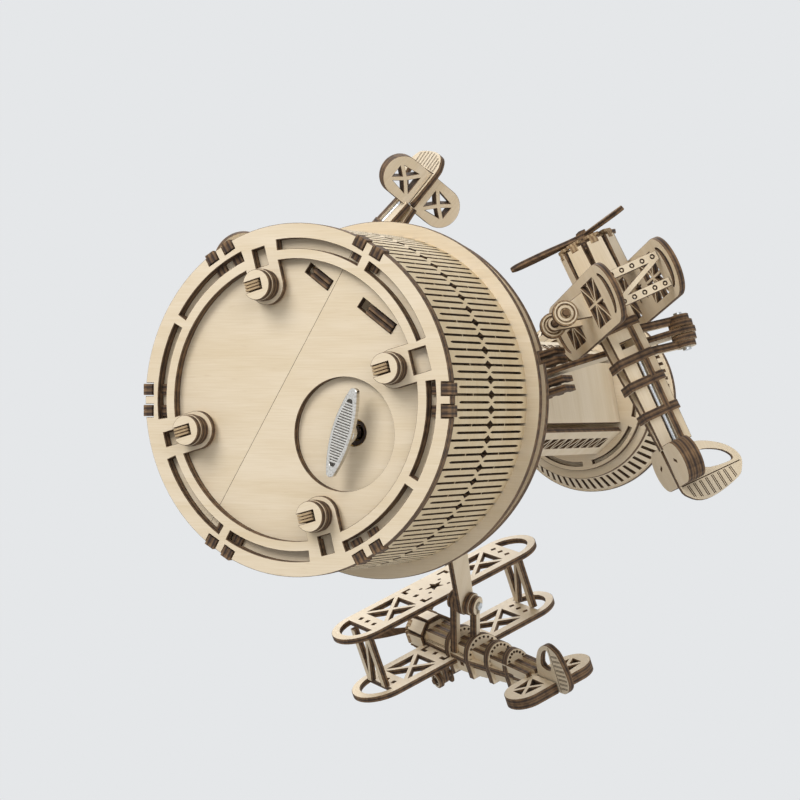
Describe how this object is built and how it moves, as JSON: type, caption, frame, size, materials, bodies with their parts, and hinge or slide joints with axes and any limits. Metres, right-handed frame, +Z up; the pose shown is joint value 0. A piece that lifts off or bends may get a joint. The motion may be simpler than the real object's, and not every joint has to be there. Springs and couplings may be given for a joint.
{
  "type": "music box",
  "caption": "Wind-up wooden music box: a slit-walled drum on feet with a key below, and a tower with a slatted head circled by biplanes on arms.",
  "frame": {"origin": "under the middle of the piece's outline, level with the undersides of its feet; the drum's axis stands at X -1.4 mm, Y -9.8 mm", "axes": "+Z up along the tower; +X points away from the tower between the first arm and the key; the first arm lies 17 degrees clockwise of +X seen from above"},
  "size_m": [0.1818, 0.1928, 0.232],
  "materials": {
    "plywood": "bare laser-cut birch plywood with browned edges",
    "dark_plywood": "plywood pieces that show mostly their burnt edges",
    "steel": "drawn rod and ground comb",
    "nickelled_key": "nickel plated, slightly worn",
    "brass": "satin"
  },
  "bodies": {
    "stand": {"base_ring": "plywood", "foot_1": "plywood", "foot_2": "plywood", "foot_3": "plywood", "foot_4": "plywood", "base_plate": "plywood", "base_plate_side_board": "plywood", "inner_frame": "plywood", "drum_wall": "plywood", "drum_flange": "plywood", "upper_deck": "plywood", "centre_post": "steel", "movement_bedplate": "brass", "tune_comb": "steel", "lower_tower": "plywood", "upper_tower_lattice": "plywood", "tower_panel_1": "plywood", "tower_panel_2": "plywood", "tower_panel_3": "plywood", "head_disc": "plywood", "head_band": "plywood", "head_roof": "plywood"},
    "winding_key": {"winding_key": "nickelled_key"},
    "spring_barrel": {"spring_barrel": "brass"},
    "tune_cylinder": {"tune_cylinder": "brass"},
    "governor": {"governor_fan": "steel"},
    "carousel": {"drive_sleeve": "plywood", "carousel_hub": "dark_plywood", "arm_1": "plywood", "arm_2": "plywood", "arm_3": "plywood"},
    "plane_1": {"plane_1_body": "plywood", "plane_1_lower_wing": "plywood", "plane_1_upper_wing": "plywood", "plane_1_left_strut": "plywood", "plane_1_right_strut": "plywood", "plane_1_tailplane": "plywood", "plane_1_fin": "plywood"},
    "plane_1_propeller": {"plane_1_propeller": "dark_plywood"},
    "plane_1_wheels": {"plane_1_wheels": "plywood"},
    "plane_2": {"plane_2_body": "plywood", "plane_2_lower_wing": "plywood", "plane_2_upper_wing": "plywood", "plane_2_left_strut": "plywood", "plane_2_right_strut": "plywood", "plane_2_tailplane": "plywood", "plane_2_fin": "plywood"},
    "plane_2_propeller": {"plane_2_propeller": "dark_plywood"},
    "plane_2_wheels": {"plane_2_wheels": "plywood"},
    "plane_3": {"plane_3_body": "plywood", "plane_3_lower_wing": "plywood", "plane_3_upper_wing": "plywood", "plane_3_left_strut": "plywood", "plane_3_right_strut": "plywood", "plane_3_tailplane": "plywood", "plane_3_fin": "plywood"},
    "plane_3_propeller": {"plane_3_propeller": "dark_plywood"},
    "plane_3_wheels": {"plane_3_wheels": "plywood"}
  },
  "joints": [
    {"name": "carousel_turn", "type": "hinge", "parent": "stand", "child": "carousel", "pos_m": [-0.00144, -0.00979, 0.118], "axis": [0, 0, 1], "continuous": true},
    {"name": "key_wind", "type": "hinge", "parent": "stand", "child": "winding_key", "pos_m": [0.01615, -0.00027, 0.008], "axis": [0, 0, 1], "continuous": true},
    {"name": "barrel_turn", "type": "hinge", "parent": "stand", "child": "spring_barrel", "pos_m": [0.01615, -0.00027, 0.008], "axis": [0, 0, 1], "continuous": true},
    {"name": "tune_cylinder_turn", "type": "hinge", "parent": "stand", "child": "tune_cylinder", "pos_m": [0.02256, -0.00979, 0.0227], "axis": [0, 1, 0], "continuous": true},
    {"name": "governor_spin", "type": "hinge", "parent": "stand", "child": "governor", "pos_m": [0.03256, -0.00029, 0.0135], "axis": [0, 0, 1], "continuous": true},
    {"name": "bank_1", "type": "hinge", "parent": "carousel", "child": "plane_1", "pos_m": [0.07153, -0.03209, 0.1285], "axis": [-0.2924, -0.9563, 0], "range_deg": [0, 8]},
    {"name": "propeller_1_spin", "type": "hinge", "parent": "plane_1", "child": "plane_1_propeller", "pos_m": [0.0433, -0.06193, 0.11371], "axis": [-0.425, -0.8977, -0.116], "continuous": true},
    {"name": "wheels_1_roll", "type": "hinge", "parent": "plane_1", "child": "plane_1_wheels", "pos_m": [0.03898, -0.03559, 0.1041], "axis": [0.6022, -0.1848, -0.7767], "continuous": true},
    {"name": "bank_2", "type": "hinge", "parent": "carousel", "child": "plane_2", "pos_m": [-0.01755, 0.05998, 0.149], "axis": [-0.9744, -0.225, 0], "range_deg": [-8, 8]},
    {"name": "propeller_2_spin", "type": "hinge", "parent": "plane_2", "child": "plane_2_propeller", "pos_m": [-0.05064, 0.07283, 0.17975], "axis": [-0.8363, -0.1243, 0.5339], "continuous": true},
    {"name": "wheels_2_roll", "type": "hinge", "parent": "plane_2", "child": "plane_2_wheels", "pos_m": [-0.03286, 0.08614, 0.17417], "axis": [-0.5344, 0.4024, -0.7433], "continuous": true},
    {"name": "bank_3", "type": "hinge", "parent": "carousel", "child": "plane_3", "pos_m": [-0.0579, -0.06244, 0.132], "axis": [-0.682, 0.7314, 0], "range_deg": [0, 8]},
    {"name": "propeller_3_spin", "type": "hinge", "parent": "plane_3", "child": "plane_3_propeller", "pos_m": [-0.07161, -0.02118, 0.10983], "axis": [-0.5588, 0.7841, -0.2701], "continuous": true},
    {"name": "wheels_3_roll", "type": "hinge", "parent": "plane_3", "child": "plane_3_wheels", "pos_m": [-0.04578, -0.03124, 0.10382], "axis": [-0.3829, -0.5329, -0.7546], "continuous": true}
  ],
  "couplings": [
    {"joint": "barrel_turn", "follows": "carousel_turn", "ratio": -2.3333},
    {"joint": "tune_cylinder_turn", "follows": "carousel_turn", "ratio": 2},
    {"joint": "governor_spin", "follows": "carousel_turn", "ratio": 20}
  ]
}
